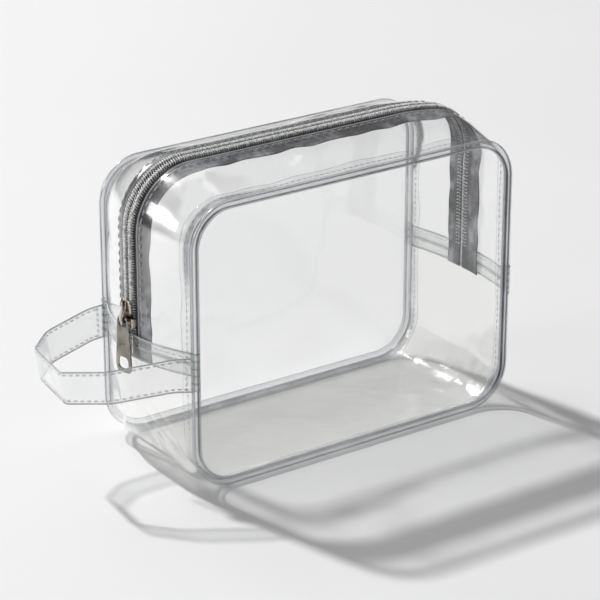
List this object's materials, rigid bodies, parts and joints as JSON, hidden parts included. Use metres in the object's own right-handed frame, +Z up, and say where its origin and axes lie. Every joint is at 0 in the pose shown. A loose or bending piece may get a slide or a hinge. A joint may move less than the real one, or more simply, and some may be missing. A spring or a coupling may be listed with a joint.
{
  "type": "makeup bag",
  "caption": "Clear film makeup bag with round piping, a coil zipper along its bulging gusset, a metal slider with a pull tab, and a strap on one end.",
  "frame": {"origin": "on the floor, in the middle of the flat underside of the lower gusset, halfway between the panels; the strap is not counted", "axes": "+X along the front towards the end without the strap, +Z up, the front panel faces -Y"},
  "size_m": [0.2836, 0.098, 0.1803],
  "materials": {
    "clear_film": "clear, glossy, softly rippled",
    "band_film": "clear, three layers, glossy",
    "strap_film": "clear, two layers, glossy",
    "piping": "clear tube, glossy",
    "zipper_tape": "woven, grey",
    "zipper_coil": "satin nylon, grey",
    "thread": "twisted, light grey",
    "slider_metal": "polished dark nickel",
    "tab_metal": "satin nickel"
  },
  "bodies": {
    "root": {"front_panel_lower": "clear_film", "back_panel": "clear_film", "lower_gusset": "clear_film", "front_strip_ends": "clear_film", "back_strip": "clear_film", "front_piping_lower": "piping", "back_piping": "piping", "left_end_band": "band_film", "right_end_band": "band_film", "front_tape_ends": "zipper_tape", "back_tape": "zipper_tape", "front_coil_ends": "zipper_coil", "back_coil": "zipper_coil", "front_zip_thread_ends": "thread", "back_zip_thread": "thread", "left_band_thread": "thread", "right_band_thread": "thread", "front_seam_thread_lower": "thread", "back_seam_thread": "thread"},
    "front_upper": {"front_panel_upper": "clear_film", "front_strip_top": "clear_film", "front_piping_upper": "piping", "front_tape_top": "zipper_tape", "front_coil_top": "zipper_coil", "front_zip_thread_top": "thread", "front_seam_thread_upper": "thread"},
    "slider": {"slider_body": "slider_metal", "slider_bail": "slider_metal"},
    "tab": {"pull_tab": "tab_metal"},
    "strap": {"strap_outer": "strap_film", "strap_inner": "strap_film", "strap_thread": "thread"}
  },
  "joints": [
    {"name": "mouth_open", "type": "hinge", "parent": "root", "child": "front_upper", "pos_m": [0, -0.049, 0.107], "axis": [1, 0, 0], "range_deg": [0, 35]},
    {"name": "slider_slide", "type": "slide", "parent": "root", "child": "slider", "axis": [0, 0, -1], "range_m": [-0.036, 0]},
    {"name": "tab_swing", "type": "hinge", "parent": "slider", "child": "tab", "pos_m": [-0.12455, 0, 0.093], "axis": [0, 1, 0], "range_deg": [0, 150]},
    {"name": "strap_swing", "type": "hinge", "parent": "root", "child": "strap", "pos_m": [-0.1206, 0, 0.072], "axis": [0, 1, 0], "range_deg": [-45, 60], "stiffness_Nm_per_rad": 0.02, "springref_deg": 2.01}
  ]
}
